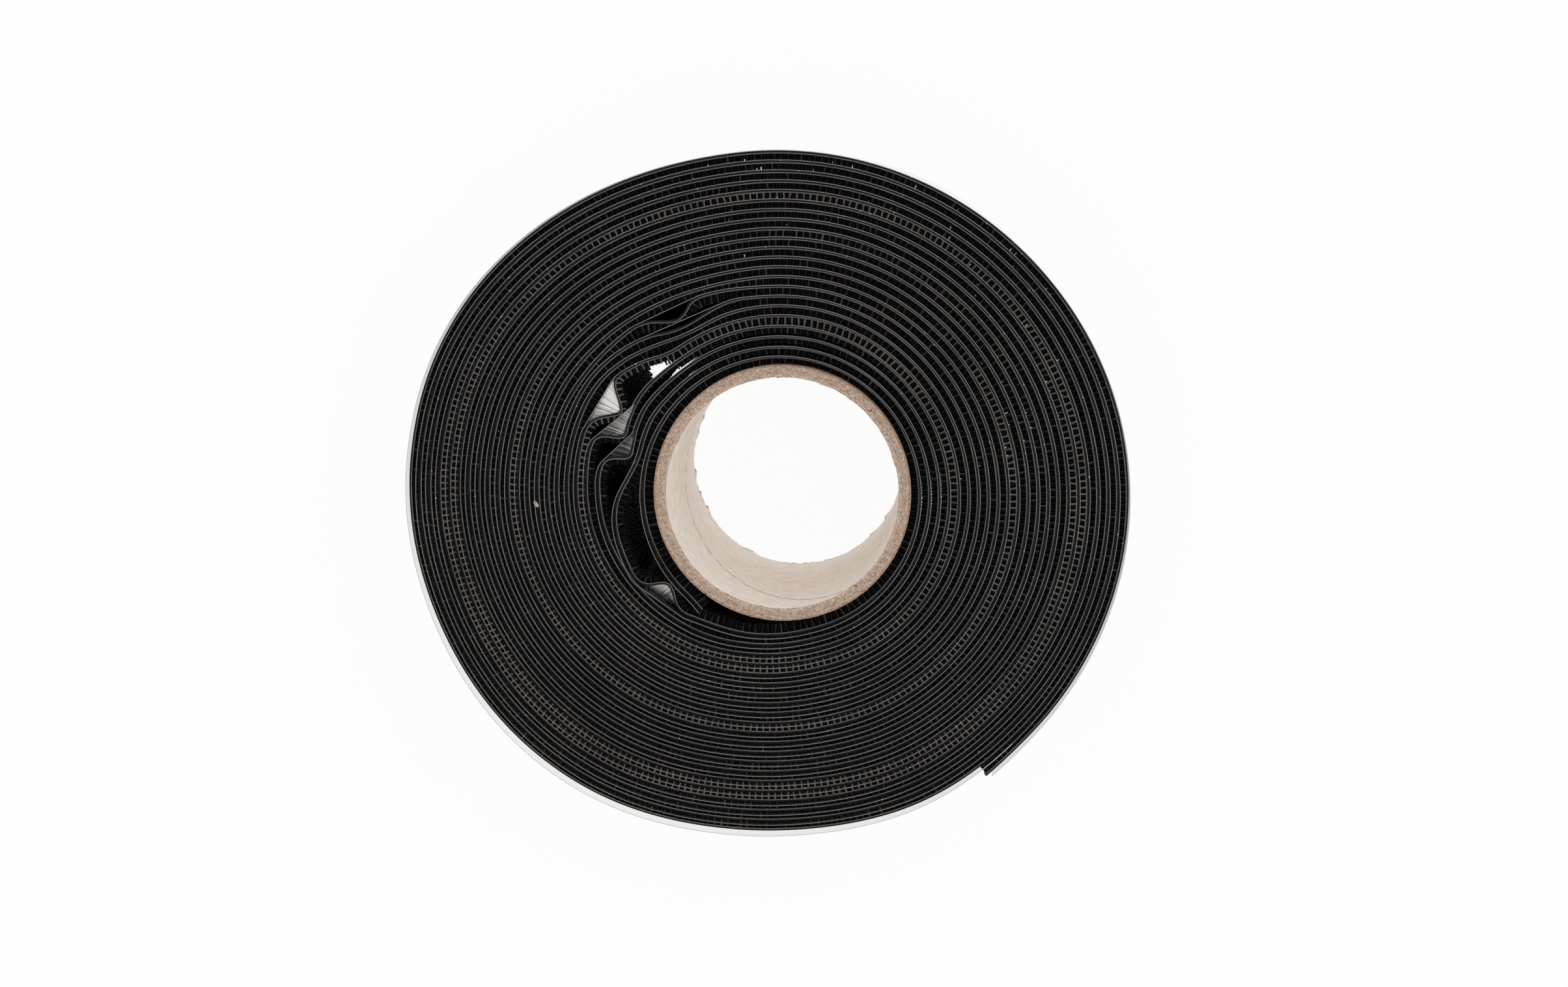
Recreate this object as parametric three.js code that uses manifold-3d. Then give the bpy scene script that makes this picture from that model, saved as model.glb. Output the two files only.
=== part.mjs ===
// Roll of self-adhesive hook tape, wound together with its clear release liner on a card core.
// Millimetres, +Z up. The roll lies on its side: its axis is Z, and the core and the liner stand on z = 0.
// Angles are in degrees, counted from +X towards +Y.
import * as THREE from 'three';
import { mergeVertices } from 'three/addons/utils/BufferGeometryUtils.js';
import Module from 'manifold-3d';

const wasm = await Module();
wasm.setup();

// Card core: a tube of four spiral plies, glued one over the other
const BORE = 35;
const INNER_PLY = 0.4;
const BOARD_PLY = 0.5;
const OUTER_PLY = 0.25;
const GLUE_LINE = 0.05;
const CORE_SIDES = 48;

// Butt seam of each ply, which climbs round the tube; the next ply's seam is stepped round from it
const SEAM_GAP = 0.4;
const SEAM_LEAD = 81;
const SEAM_TOP_ANGLE = 310;
const SEAM_STEP = 95;
const SEAM_STEPS = 32;

// Tape: a moulded web with stems on its inner face and an adhesive coat under the liner
const TAPE_WIDTH = 38;
const TAPE_THICKNESS = 0.4;
const STEM_HEIGHT = 0.75;
const STEM_ROOM = 0.885;
const LINER_THICKNESS = 0.1;
const LINER_OVERHANG = 2;
const LINER_TAIL = 0.6;
const BOND_LINE = 0.05;

// Winding: it starts at the core and runs clockwise outwards, seen from above
const FULL_TURNS = 21;
const INNER_END = 236;
const OUTER_END = 305.5;
const STEPS_PER_TURN = 24;
const CLIMB_START = 0.86;
const SLACK_AT_CORE = 1.07;
const SLACK_AT_RIM = 3.1;
const SLACK_ANGLE = 240;
const INNER_END_KICK = 0.6;
const OUTER_END_KICK = 0.25;
const KICK_SWEEP = 10;

// Outermost liner: it stands loose from the tape round this angle
const LOOSE = { height: 0.45, at: 255, half: 90 };

// Swell on one side of the roll, where the buckled inner turns push the others out
const SWELL = { height: 4, riseFrom: 98, riseTo: 166, fallFrom: 175, fallTo: 262 };

// Buckles of the inner turns: how each rises to the swell, and where its tape dips away from the liner
const BUCKLES = {
  2: {
    height: 3,
    riseFrom: 166,
    riseTo: 195,
    fallFrom: 203,
    fallTo: 245,
    dip: { at: 219.5, half: 9, depth: 2.6 },
  },
  3: { height: 3.8, riseFrom: 167, riseTo: 171.5, lead: 7.5 },
  4: { height: 4.15, riseFrom: 160.5, riseTo: 166, lead: 5.7 },
  5: { height: 4.1, riseFrom: 126, riseTo: 150, dip: { at: 153.3, half: 7.2, depth: 3.7 } },
  6: { riseFrom: 124, riseTo: 152 },
  7: { riseFrom: 120, riseTo: 154, dip: { at: 122, half: 10, depth: 0.5 } },
  8: { dip: { at: 121.6, half: 9.5, depth: 1.5 } },
};
const DIP_STATIONS = [-1, -0.6, -0.3, 0, 0.3, 0.6, 1];
const RISE_STATIONS = [0, 0.25, 0.5, 0.75, 1];
const TURN_COUNTED_AT = 280;
const LEAST_STATION_STEP = 1.2;

// Sizes that follow from the ones above
const ROLL_WIDTH = TAPE_WIDTH + 2 * LINER_OVERHANG;
const PLIES = [INNER_PLY, BOARD_PLY, BOARD_PLY, OUTER_PLY];
const CORE_RADIUS = BORE / 2 + PLIES.reduce((sum, ply) => sum + ply, 0) + GLUE_LINE * (PLIES.length - 1);
const PITCH = TAPE_THICKNESS + BOND_LINE + LINER_THICKNESS + STEM_ROOM;
const TURNS = FULL_TURNS + THREE.MathUtils.euclideanModulo(INNER_END - OUTER_END, 360) / 360;

const { degToRad, lerp, smoothstep, euclideanModulo } = THREE.MathUtils;

// Point at a radius, an angle and a height
function polar(radius, angle, z) {
  return new THREE.Vector3(radius * Math.cos(degToRad(angle)), radius * Math.sin(degToRad(angle)), z);
}

// Smooth hump, 1 at its centre and 0 from one half width away
function hump(x, { at, half }) {
  const away = Math.min(Math.abs(x - at) / half, 1);
  return (1 + Math.cos(Math.PI * away)) / 2;
}

// Turn number and angle at a length of winding, given in turns from the inner end
function placeOf(wound) {
  const swept = wound * 360 + TURN_COUNTED_AT - INNER_END;
  return { turn: 1 + Math.floor(swept / 360), angle: TURN_COUNTED_AT - euclideanModulo(swept, 360) };
}

// Length of winding, in turns, at an angle of one turn
function woundAt(turn, angle) {
  return turn - 1 + (INNER_END - angle) / 360;
}

function buckleOf(turn) {
  return { ...SWELL, ...BUCKLES[turn] };
}

// How far the buckles hold a turn away from the plain spiral
function liftAt(wound) {
  const { turn, angle } = placeOf(wound);
  if (turn < 2) return 0;
  const buckle = buckleOf(turn);
  const rise = smoothstep(angle, buckle.riseFrom, buckle.riseTo);
  const fall = smoothstep(angle, buckle.fallFrom, buckle.fallTo);
  const dip = buckle.dip ? buckle.dip.depth * hump(angle, buckle.dip) : 0;
  return buckle.height * rise * (1 - fall) - dip;
}

// The cut ends spring away from what they lie on
function kickAt(wound) {
  const fromInner = Math.max(0, 1 - (wound * 360) / KICK_SWEEP);
  const fromOuter = Math.max(0, 1 - ((TURNS - wound) * 360) / KICK_SWEEP);
  return INNER_END_KICK * fromInner ** 2 + OUTER_END_KICK * fromOuter ** 2;
}

// Radius of the web's inner face: each turn hugs the one below and climbs over its inner end
function webInside(wound) {
  const turnStart = Math.floor(wound);
  const wraps = turnStart + smoothstep(wound - turnStart, CLIMB_START, 1);
  const slack = lerp(SLACK_AT_CORE, SLACK_AT_RIM, wound / TURNS);
  const slackShare = (1 + Math.cos(degToRad(placeOf(wound).angle - SLACK_ANGLE))) / 2;
  return CORE_RADIUS + STEM_HEIGHT + wraps * PITCH + slack * slackShare + liftAt(wound) + kickAt(wound);
}

// Radial depth of a layer where its face is steep, so that its true thickness stays the same
function radialDepth(face, wound, thickness) {
  const step = 1e-4;
  const slope = (face(wound + step) - face(wound - step)) / (face(wound) * 4 * Math.PI * step);
  return thickness * Math.hypot(1, slope);
}

function webOutside(wound) {
  return webInside(wound) + radialDepth(webInside, wound, TAPE_THICKNESS);
}

// Stretch of a turn where the liner runs straight across the tape's buckle
function linerSpan(turn) {
  const { dip, lead, riseFrom, riseTo } = buckleOf(turn);
  if (dip) return [dip.at - dip.half, dip.at + dip.half];
  return lead ? [riseFrom - lead, riseTo] : null;
}

// Radius of the straight line between two points, at an angle between theirs
function chordRadius(angle, [fromAngle, fromRadius], [toAngle, toRadius]) {
  const ahead = Math.sin(degToRad(angle - fromAngle)) / toRadius;
  const behind = Math.sin(degToRad(toAngle - angle)) / fromRadius;
  return Math.sin(degToRad(toAngle - fromAngle)) / (ahead + behind);
}

// Radius of the liner's inner face
function linerInside(wound) {
  const { turn, angle } = placeOf(wound);
  const bonded = webOutside(wound) + BOND_LINE;
  const span = linerSpan(turn);
  if (span && angle > span[0] && angle < span[1]) {
    const ends = span.map((end) => [end, webOutside(woundAt(turn, end)) + BOND_LINE]);
    return Math.max(bonded, chordRadius(angle, ...ends));
  }
  const loose = wound > TURNS - 1.2 ? LOOSE.height * hump(euclideanModulo(angle, 360), LOOSE) : 0;
  const underTail = wound < TURNS - 1 ? 1 - smoothstep(TURNS - 1 - wound, 0, 0.2) : 1;
  return bonded + loose * underTail;
}

function linerOutside(wound) {
  return linerInside(wound) + radialDepth(linerInside, wound, LINER_THICKNESS);
}

// Lengths of winding where the strips have a section: the same angles in every turn, and more in the buckles
function windingStations() {
  const buckled = [];
  for (const turn of Object.keys(BUCKLES).map(Number)) {
    const { dip, lead, riseFrom, riseTo } = buckleOf(turn);
    const angles = dip ? DIP_STATIONS.map((share) => dip.at + share * dip.half) : [];
    if (lead) angles.push(riseFrom - lead, ...RISE_STATIONS.map((share) => lerp(riseFrom, riseTo, share)));
    buckled.push(...angles.map((angle) => woundAt(turn, angle)));
  }
  const clear = (wound) => buckled.every((other) => Math.abs(other - wound) * 360 > LEAST_STATION_STEP);
  const even = [];
  for (let step = 0; step < TURNS * STEPS_PER_TURN; step += 1) even.push(step / STEPS_PER_TURN);
  return [...even.filter(clear), ...buckled, TURNS].sort((a, b) => a - b);
}

// Closed solid through four-cornered sections, whose corners run counter-clockwise seen from the far end
function sweptSolid(sections) {
  const corners = sections.flat();
  const index = [];
  const quad = (a, b, c, d) => index.push(a, b, c, a, c, d);
  for (let i = 0; i + 1 < sections.length; i += 1) {
    for (let side = 0; side < 4; side += 1) {
      const next = (side + 1) % 4;
      quad(4 * i + side, 4 * i + next, 4 * i + 4 + next, 4 * i + 4 + side);
    }
  }
  const last = corners.length - 4;
  quad(3, 2, 1, 0);
  quad(last, last + 1, last + 2, last + 3);
  const solid = new THREE.BufferGeometry().setFromPoints(corners);
  solid.setIndex(index);
  solid.computeVertexNormals();
  return solid;
}

// Strip wound between two faces, from one edge height to the other
function woundStrip(stations, inside, outside, low, high) {
  const sections = stations.map((wound) => {
    const { angle } = placeOf(wound);
    const corner = (face, z) => polar(face(wound), angle, z);
    return [corner(inside, low), corner(outside, low), corner(outside, high), corner(inside, high)];
  });
  return sweptSolid(sections);
}

// Least distance from each turn's outer face to the inner face of the turn wound over it
function leastTurnGap(stations, inside, outside) {
  const innerPoints = stations.map((wound) => polar(inside(wound), placeOf(wound).angle, 0));
  const nearest = new THREE.Vector3();
  let least = Infinity;
  stations.forEach((wound) => {
    const point = polar(outside(wound), placeOf(wound).angle, 0);
    for (let i = 0; i + 1 < stations.length; i += 1) {
      if (stations[i] < wound + 0.8 || stations[i] > wound + 1.2) continue;
      new THREE.Line3(innerPoints[i], innerPoints[i + 1]).closestPointToPoint(point, true, nearest);
      least = Math.min(least, nearest.distanceTo(point));
    }
  });
  return least;
}

function toManifold(geometry) {
  const bare = geometry.clone();
  bare.deleteAttribute('normal');
  bare.deleteAttribute('uv');
  const merged = mergeVertices(bare);
  const vertProperties = new Float32Array(merged.attributes.position.array);
  const triVerts = new Uint32Array(merged.index.array);
  return new wasm.Manifold(new wasm.Mesh({ numProp: 3, vertProperties, triVerts }));
}

function toGeometry(manifold) {
  const { vertProperties, triVerts } = manifold.getMesh();
  const geometry = new THREE.BufferGeometry();
  geometry.setAttribute('position', new THREE.BufferAttribute(vertProperties, 3));
  geometry.setIndex(new THREE.BufferAttribute(triVerts, 1));
  geometry.computeVertexNormals();
  return geometry;
}

// Thin helical blade that parts a ply along its seam
function seamBlade(inner, outer, topAngle) {
  const reach = GLUE_LINE;
  const halfSweep = THREE.MathUtils.radToDeg(SEAM_GAP / (inner + outer));
  const sections = [];
  for (let step = 0; step <= SEAM_STEPS; step += 1) {
    const z = lerp(-reach, ROLL_WIDTH + reach, step / SEAM_STEPS);
    const angle = topAngle + (360 * (z - ROLL_WIDTH)) / SEAM_LEAD;
    const near = inner * 0.98;
    const far = outer * 1.02;
    sections.push([
      polar(near, angle - halfSweep, z),
      polar(far, angle - halfSweep, z),
      polar(far, angle + halfSweep, z),
      polar(near, angle + halfSweep, z),
    ]);
  }
  return sweptSolid(sections);
}

// Ply of the core: a turned tube parted along its seam
function corePly(inner, outer, topAngle) {
  const wall = [[inner, 0], [outer, 0], [outer, ROLL_WIDTH], [inner, ROLL_WIDTH], [inner, 0]];
  const tube = new THREE.LatheGeometry(wall.map(([r, z]) => new THREE.Vector2(r, z)), CORE_SIDES);
  tube.rotateX(Math.PI / 2);
  return toGeometry(toManifold(tube).subtract(toManifold(seamBlade(inner, outer, topAngle))));
}

function part(name, geometry, finish) {
  const mesh = new THREE.Mesh(geometry, new THREE.MeshStandardMaterial(finish));
  mesh.name = name;
  return mesh;
}

const BLACK_PLASTIC = { color: 0x141414, roughness: 0.5, metalness: 0 };
const CLEAR_FILM = { color: 0xe6e4e1, roughness: 0.15, metalness: 0, transparent: true, opacity: 0.35 };
const PALE_PAPER = { color: 0xd6c5b4, roughness: 0.9, metalness: 0 };
const GREY_BOARD = { color: 0x8c7b6c, roughness: 0.95, metalness: 0 };
const KRAFT_PAPER = { color: 0xa98f79, roughness: 0.9, metalness: 0 };

function buildCore() {
  const core = new THREE.Group();
  const names = ['core_inner_ply', 'core_board_ply_1', 'core_board_ply_2', 'core_outer_ply'];
  const finishes = [PALE_PAPER, GREY_BOARD, GREY_BOARD, KRAFT_PAPER];
  let inner = BORE / 2;
  PLIES.forEach((thickness, i) => {
    const ply = corePly(inner, inner + thickness, SEAM_TOP_ANGLE + i * SEAM_STEP);
    core.add(part(names[i], ply, finishes[i]));
    inner += thickness + GLUE_LINE;
  });
  return core;
}

function buildWinding() {
  const winding = new THREE.Group();
  const stations = windingStations();
  const tailSweep = LINER_TAIL / (2 * Math.PI * webInside(TURNS));
  const linerStations = [...stations, TURNS + tailSweep];
  const tapeLow = LINER_OVERHANG;
  const tape = woundStrip(stations, webInside, webOutside, tapeLow, tapeLow + TAPE_WIDTH);
  const liner = woundStrip(linerStations, linerInside, linerOutside, 0, ROLL_WIDTH);
  winding.add(part('hook_tape', tape, BLACK_PLASTIC), part('release_liner', liner, CLEAR_FILM));
  const tapeGap = leastTurnGap(stations, webInside, webOutside);
  const linerGap = leastTurnGap(linerStations, linerInside, linerOutside);
  console.log(`hook_tape: least gap between its turns ${tapeGap.toFixed(2)} mm`);
  console.log(`release_liner: least gap between its turns ${linerGap.toFixed(2)} mm`);
  return winding;
}

const roll = new THREE.Group();
roll.add(buildCore(), buildWinding());

export default roll;
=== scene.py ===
"""Roll of black hook tape, wound with its clear liner on a card core and lying on a white table.

Lengths are in metres and angles in degrees. Seen from above, the tape runs clockwise outwards from the
core.
"""

import logging
import math
import random
from dataclasses import dataclass, field
from enum import Enum
from typing import Callable, Iterable, Optional, Union

import bmesh
import bpy
from mathutils import Matrix, Vector, noise


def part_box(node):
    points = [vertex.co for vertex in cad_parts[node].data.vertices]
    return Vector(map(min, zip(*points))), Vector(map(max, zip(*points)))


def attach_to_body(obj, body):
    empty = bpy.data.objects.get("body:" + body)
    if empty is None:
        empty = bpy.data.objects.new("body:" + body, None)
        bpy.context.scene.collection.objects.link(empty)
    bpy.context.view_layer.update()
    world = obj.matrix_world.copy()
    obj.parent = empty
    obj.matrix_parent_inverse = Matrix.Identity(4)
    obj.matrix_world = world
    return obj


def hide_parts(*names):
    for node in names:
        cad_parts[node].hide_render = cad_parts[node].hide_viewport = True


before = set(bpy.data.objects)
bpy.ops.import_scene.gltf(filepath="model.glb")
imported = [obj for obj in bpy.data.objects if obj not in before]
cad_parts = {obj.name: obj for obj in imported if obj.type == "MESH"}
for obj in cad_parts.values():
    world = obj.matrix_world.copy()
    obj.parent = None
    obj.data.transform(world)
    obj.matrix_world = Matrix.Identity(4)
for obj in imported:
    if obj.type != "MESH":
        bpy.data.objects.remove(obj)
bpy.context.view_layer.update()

MM = 0.001
PHOTO_WIDTH = 2408
log = logging.getLogger("tape_roll")

Colour = tuple[float, float, float, float]
Wire = Union[float, Colour, Vector, bpy.types.NodeSocket]


class Body(Enum):
    """Bodies of the frame that pieces ride on."""

    WINDING = "winding"
    CORE = "core"


class End(Enum):
    """The two ends of the roll, as the way that each one faces along the axis."""

    UPPER = 1
    LOWER = -1


def add_node(tree: bpy.types.NodeTree, kind: str, inputs: Optional[dict[Union[int, str], Wire]] = None,
             **settings: object) -> bpy.types.Node:
    """Adds a node, sets it up and wires its inputs.

    Args:
        tree: the node tree it goes into.
        kind: the node's type.
        inputs: a value or an output socket for each input, by name or index.
        **settings: the node's own properties.

    Returns:
        The new node.
    """
    node = tree.nodes.new(kind)
    for name, value in settings.items():
        setattr(node, name, value)
    for key, value in (inputs or {}).items():
        if isinstance(value, bpy.types.NodeSocket):
            tree.links.new(value, node.inputs[key])
        else:
            node.inputs[key].default_value = value
    return node


def mix_colour(tree: bpy.types.NodeTree, factor: Wire, first: Wire, second: Wire) -> bpy.types.NodeSocket:
    """Mixes two colours.

    Args:
        tree: the node tree.
        factor: the share of the second colour.
        first: colour at 0.
        second: colour at 1.

    Returns:
        The socket of the mixed colour.
    """
    return add_node(tree, "ShaderNodeMix", {0: factor, 6: first, 7: second}, data_type="RGBA").outputs[2]


def math_node(tree: bpy.types.NodeTree, operation: str, *values: Wire) -> bpy.types.NodeSocket:
    """Adds a Math node and gives its output.

    Args:
        tree: the node tree.
        operation: the sum to do.
        *values: its inputs in order.

    Returns:
        The socket of the result.
    """
    return add_node(tree, "ShaderNodeMath", dict(enumerate(values)), operation=operation).outputs[0]


def map_range(tree: bpy.types.NodeTree, value: Wire, low: float = 0.0, high: float = 1.0, to_low: float = 0.0,
              to_high: float = 1.0) -> bpy.types.NodeSocket:
    """Maps a value from one range to another and holds it there.

    Args:
        tree: the node tree.
        value: the value.
        low: start of its range.
        high: end of its range.
        to_low: result at the start.
        to_high: result at the end.

    Returns:
        The socket of the result.
    """
    ends = {"Value": value, "From Min": low, "From Max": high, "To Min": to_low, "To Max": to_high}
    return add_node(tree, "ShaderNodeMapRange", ends).outputs[0]


def clamped(tree: bpy.types.NodeTree, operation: str, first: Wire, second: Wire) -> bpy.types.NodeSocket:
    """Adds a Math node whose result stays between 0 and 1, and gives its output."""
    inputs = {0: first, 1: second}
    return add_node(tree, "ShaderNodeMath", inputs, operation=operation, use_clamp=True).outputs[0]


def attribute(tree: bpy.types.NodeTree, name: str) -> bpy.types.NodeSocket:
    """Gives a value that the mesh holds at each vertex."""
    return add_node(tree, "ShaderNodeAttribute", attribute_name=name).outputs["Fac"]


def new_group(name: str, inputs: dict[str, str], outputs: dict[str, str]) -> bpy.types.NodeTree:
    """Starts a shader node group.

    Args:
        name: the group's name.
        inputs: socket type by input name.
        outputs: socket type by output name.

    Returns:
        The group, with its input and output nodes in it.
    """
    group = bpy.data.node_groups.new(name, "ShaderNodeTree")
    for label, kind in inputs.items():
        group.interface.new_socket(name=label, in_out="INPUT", socket_type=kind)
    for label, kind in outputs.items():
        group.interface.new_socket(name=label, in_out="OUTPUT", socket_type=kind)
    group.nodes.new("NodeGroupInput").name = "in"
    group.nodes.new("NodeGroupOutput").name = "out"
    return group


def cut_edge_group() -> bpy.types.NodeTree:
    """Builds the mask of a strip's two cut edges.

    Returns:
        A group whose Mask is 1 on the strip's upper and lower edges and 0 between them.
    """
    number = "NodeSocketFloat"
    inputs = {"Place": "NodeSocketVector", "Low": number, "High": number, "Depth": number}
    group = new_group("cut_edge", inputs, {"Mask": number})
    given = group.nodes["in"].outputs
    height = add_node(group, "ShaderNodeSeparateXYZ", {0: given["Place"]}).outputs["Z"]
    upper_start = math_node(group, "SUBTRACT", given["High"], given["Depth"])
    lower_start = math_node(group, "ADD", given["Low"], given["Depth"])
    above = math_node(group, "SUBTRACT", height, upper_start)
    below = math_node(group, "SUBTRACT", lower_start, height)
    nearest = math_node(group, "MAXIMUM", above, below)
    mask = clamped(group, "DIVIDE", nearest, given["Depth"])
    group.links.new(mask, group.nodes["out"].inputs["Mask"])
    return group


def grain_group() -> bpy.types.NodeTree:
    """Builds the fine unevenness that plastic, film and board share.

    Returns:
        A group with a Fine and a Broad value between 0 and 1.
    """
    number = "NodeSocketFloat"
    group = new_group("grain", {"Place": "NodeSocketVector", "Fine scale": number, "Broad scale": number},
                      {"Fine": number, "Broad": number})
    given = group.nodes["in"].outputs
    for label, detail in (("Fine", 2.0), ("Broad", 3.0)):
        cloud = add_node(group, "ShaderNodeTexNoise",
                         {"Vector": given["Place"], "Scale": given[f"{label} scale"], "Detail": detail})
        group.links.new(cloud.outputs["Fac"], group.nodes["out"].inputs[label])
    return group


def fibre_group() -> bpy.types.NodeTree:
    """Builds the fibres of paper, which run round the tube on its walls and on its cut ends.

    Returns:
        A group with a Streak and a Cloud value between 0 and 1.
    """
    number = "NodeSocketFloat"
    group = new_group("fibre", {"Place": "NodeSocketVector", "Scale": number, "Stretch": number},
                      {"Streak": number, "Cloud": number})
    given = group.nodes["in"].outputs
    axes = add_node(group, "ShaderNodeSeparateXYZ", {0: given["Place"]}).outputs
    flat = add_node(group, "ShaderNodeCombineXYZ", {"X": axes["X"], "Y": axes["Y"]}).outputs[0]
    out_from_axis = add_node(group, "ShaderNodeVectorMath", {0: flat}, operation="LENGTH").outputs["Value"]
    across = math_node(group, "ADD", out_from_axis, axes["Z"])
    stretched = math_node(group, "MULTIPLY", across, given["Stretch"])
    round_tube = {"X": axes["X"], "Y": axes["Y"], "Z": stretched}
    strands = add_node(group, "ShaderNodeCombineXYZ", round_tube).outputs[0]
    for label, place, detail in (("Streak", strands, 4.0), ("Cloud", given["Place"], 6.0)):
        pattern = add_node(group, "ShaderNodeTexNoise",
                           {"Vector": place, "Scale": given["Scale"], "Detail": detail, "Roughness": 0.6})
        group.links.new(pattern.outputs["Fac"], group.nodes["out"].inputs[label])
    return group


@dataclass(frozen=True)
class Effects:
    """Node groups that several finishes share."""

    cut_edge: bpy.types.NodeTree
    grain: bpy.types.NodeTree
    fibre: bpy.types.NodeTree

    @classmethod
    def build(cls) -> "Effects":
        """Builds each group once."""
        return cls(cut_edge_group(), grain_group(), fibre_group())


@dataclass(frozen=True)
class Surface:
    """A new material with its shader, its node tree and its place on the object."""

    material: bpy.types.Material
    tree: bpy.types.NodeTree
    shader: bpy.types.Node
    place: bpy.types.NodeSocket

    @classmethod
    def start(cls, name: str) -> "Surface":
        """Starts a material.

        Args:
            name: the material's name.

        Returns:
            The surface, with a plain shader on it.
        """
        material = bpy.data.materials.new(name)
        material.use_nodes = True
        tree = material.node_tree
        place = add_node(tree, "ShaderNodeTexCoord").outputs["Object"]
        return cls(material, tree, tree.nodes["Principled BSDF"], place)

    def effect(self, group: bpy.types.NodeTree, inputs: dict[str, Wire]) -> bpy.types.NodeOutputs:
        """Places a shared group and gives its outputs."""
        return add_node(self.tree, "ShaderNodeGroup", inputs, node_tree=group).outputs

    def grain(self, effects: Effects, fine: float, broad: float,
              place: Optional[bpy.types.NodeSocket] = None) -> bpy.types.NodeOutputs:
        """Places the shared grain.

        Args:
            effects: the shared groups.
            fine: scale of its Fine value.
            broad: scale of its Broad value.
            place: where it is read, if not at the surface's own place.

        Returns:
            The outputs Fine and Broad.
        """
        spot = self.place if place is None else place
        return self.effect(effects.grain, {"Place": spot, "Fine scale": fine, "Broad scale": broad})

    def at_cut_edges(self, effects: Effects, low: float, high: float, depth: float) -> bpy.types.NodeSocket:
        """Gives the mask of the two cut edges, which fades out over a depth."""
        inputs = {"Place": self.place, "Low": low, "High": high, "Depth": depth}
        return self.effect(effects.cut_edge, inputs)["Mask"]

    def feed(self, **sockets: bpy.types.NodeSocket) -> None:
        """Wires outputs to the shader's inputs, named with underscores for spaces."""
        for name, socket in sockets.items():
            self.tree.links.new(socket, self.shader.inputs[name.replace("_", " ")])

    def bump(self, height: bpy.types.NodeSocket, distance: float, strength: float) -> None:
        """Raises the surface by a height map.

        Args:
            height: the map.
            distance: its full height.
            strength: its share.
        """
        bump = add_node(self.tree, "ShaderNodeBump",
                        {"Height": height, "Distance": distance, "Strength": strength})
        self.feed(Normal=bump.outputs[0])


@dataclass(frozen=True)
class MouldedBlack:
    """Black moulded plastic of the web and its stems, paler towards the slit edges: partly the cut edge's own
    tone, partly painted light, with top edges painted paler and lower stems darker as painted shade.
    """

    name: str
    low: float
    high: float
    slit_and_lit_colour: Colour
    slit_and_lit_depth: float
    gloss: float
    colour: Colour = (0.0055, 0.0043, 0.0038, 1.0)
    grain_scale: float = 2600.0
    patch_scale: float = 120.0
    relief: float = 0.02 * MM

    def build(self, effects: Effects) -> bpy.types.Material:
        """Builds the material from the shared effects."""
        surface = Surface.start(self.name)
        surface.shader.inputs["Specular IOR Level"].default_value = self.gloss
        tree = surface.tree
        grain = surface.grain(effects, self.grain_scale, self.patch_scale)
        # Mask of the pale slit tone: partly the cut edge's own tone, partly painted light that pales the top
        # edges and leaves deeper stems darker as painted shade
        slit = surface.at_cut_edges(effects, self.low, self.high, self.slit_and_lit_depth)
        uneven = map_range(tree, grain["Broad"], 0.3, 0.7, 0.6, 1.1)
        share = math_node(tree, "MULTIPLY", slit, uneven)
        rough = map_range(tree, grain["Fine"], to_low=0.38, to_high=0.62)
        surface.feed(Base_Color=mix_colour(tree, share, self.colour, self.slit_and_lit_colour), Roughness=rough)
        surface.bump(grain["Fine"], self.relief, 0.4)
        return surface.material


@dataclass(frozen=True)
class AdhesiveGloss:
    """Black adhesive coat with faint upright streaks."""

    colour: Colour = (0.005, 0.005, 0.005, 1.0)
    streaked: Colour = (0.011, 0.0105, 0.01, 1.0)
    streak_scale: float = 2200.0
    patch_scale: float = 420.0
    upright: float = 0.05
    gloss: float = 0.12
    relief: float = 0.04 * MM

    def build(self, effects: Effects) -> bpy.types.Material:
        """Builds the material from the shared effects."""
        surface = Surface.start("adhesive_gloss")
        surface.shader.inputs["Specular IOR Level"].default_value = self.gloss
        tree = surface.tree
        stretch = {"Vector": surface.place, "Scale": Vector((1.0, 1.0, self.upright))}
        stretched = add_node(tree, "ShaderNodeMapping", stretch).outputs[0]
        grain = surface.grain(effects, self.streak_scale, self.patch_scale, stretched)
        patch = map_range(tree, grain["Broad"], 0.35, 0.65)
        rough = map_range(tree, grain["Fine"], to_low=0.03, to_high=0.2)
        surface.feed(Base_Color=mix_colour(tree, patch, self.colour, self.streaked), Roughness=rough)
        surface.bump(grain["Fine"], self.relief, 0.4)
        return surface.material


@dataclass(frozen=True)
class DrawnStrandsHighlight:
    """Adhesive drawn out into strands between the liner and the web, painted pale as a highlight: the glossy
    reflection in the pockets, streaked along the strands.
    """

    dark: Colour = (0.03, 0.027, 0.025, 1.0)
    # pale: painted highlight, the pockets' glossy reflection; dark: the strands in shade
    pale: Colour = (0.86, 0.84, 0.82, 1.0)
    strands_per_turn: float = 700.0
    grain_scale: float = 1500.0
    patch_scale: float = 500.0
    contrast: float = 0.42
    relief: float = 0.05 * MM

    def build(self, effects: Effects) -> bpy.types.Material:
        """Builds the material from the shared effects."""
        surface = Surface.start("drawn_strands_highlight")
        tree = surface.tree
        along = math_node(tree, "MULTIPLY", attribute(tree, "wound"), self.strands_per_turn)
        pattern = {"W": along, "Scale": 1.0, "Detail": 3.0}
        strand = add_node(tree, "ShaderNodeTexNoise", pattern, noise_dimensions="1D").outputs["Fac"]
        grain = surface.grain(effects, self.grain_scale, self.patch_scale)
        sharp = map_range(tree, strand, 0.36, 0.64, -self.contrast, self.contrast)
        patch = math_node(tree, "MULTIPLY_ADD", grain["Broad"], 0.6, -0.3)
        uneven = math_node(tree, "ADD", sharp, patch)
        # The per-vertex painted light raises the strands to the pale painted highlight or lowers them into
        # painted shade
        share = clamped(tree, "ADD", uneven, attribute(tree, "painted_light"))
        surface.feed(Base_Color=mix_colour(tree, share, self.dark, self.pale))
        surface.shader.inputs["Roughness"].default_value = 0.3
        surface.bump(strand, self.relief, 0.5)
        return surface.material


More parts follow.
